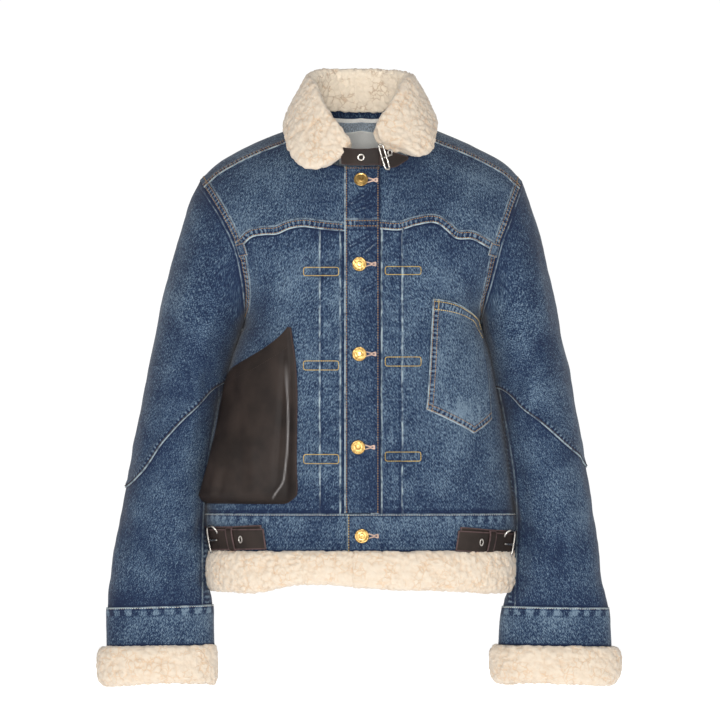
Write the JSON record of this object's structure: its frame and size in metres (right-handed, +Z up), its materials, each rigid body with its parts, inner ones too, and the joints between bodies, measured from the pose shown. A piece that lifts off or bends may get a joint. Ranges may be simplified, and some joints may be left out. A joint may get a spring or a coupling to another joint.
{
  "type": "sherpa lined denim jacket",
  "caption": "Short denim jacket with button front, sherpa collar, hem and cuffs, leather pouch pocket and straps, in its worn shape and hollow inside.",
  "frame": {"origin": "middle of the neck hole, at the height where the shoulders' top line meets the collar, where the wearer holds the jacket up", "axes": "+Z up, +X towards the wearer's left, -Y towards the front"},
  "size_m": [0.639, 0.2518, 0.7535],
  "materials": {
    "brass": "antique brass",
    "denim": "washed blue cotton twill",
    "label": "cream woven tape",
    "leather": "dark brown smooth leather",
    "sherpa": "cream sherpa pile",
    "silver": "worn silver plate"
  },
  "bodies": {
    "root": {"back_panel": "denim", "back_yoke": "denim", "button_1": "brass", "button_2": "brass", "button_3": "brass", "button_4": "brass", "button_5": "brass", "chest_pocket": "denim", "chin_buckle": "silver", "chin_eyelet_1": "silver", "chin_eyelet_2": "silver", "chin_strap": "leather", "chin_strap_end": "leather", "collar_sherpa": "sherpa", "collar_stand": "denim", "cuff_left": "denim", "cuff_right": "denim", "front_left": "denim", "front_right": "denim", "leather_pocket": "leather", "neck_label": "label", "neck_tape": "label", "placket": "denim", "sherpa_cuff_left": "sherpa", "sherpa_cuff_right": "sherpa", "sherpa_hem_back": "sherpa", "sherpa_hem_left": "sherpa", "sherpa_hem_right": "sherpa", "sleeve_lower_back_left": "denim", "sleeve_lower_back_right": "denim", "sleeve_lower_front_left": "denim", "sleeve_lower_front_right": "denim", "sleeve_upper_left": "denim", "sleeve_upper_right": "denim", "tab_buckle_left": "silver", "tab_buckle_right": "silver", "tab_eyelet_left": "silver", "tab_eyelet_right": "silver", "tab_keeper_left": "leather", "tab_keeper_right": "leather", "tab_left": "leather", "tab_pin_left": "silver", "tab_pin_right": "silver", "tab_right": "leather", "tab_under_left": "leather", "tab_under_right": "leather", "waistband_back": "denim", "waistband_left": "denim", "waistband_right": "denim", "yoke_front_left": "denim", "yoke_front_right": "denim"}
  },
  "joints": []
}
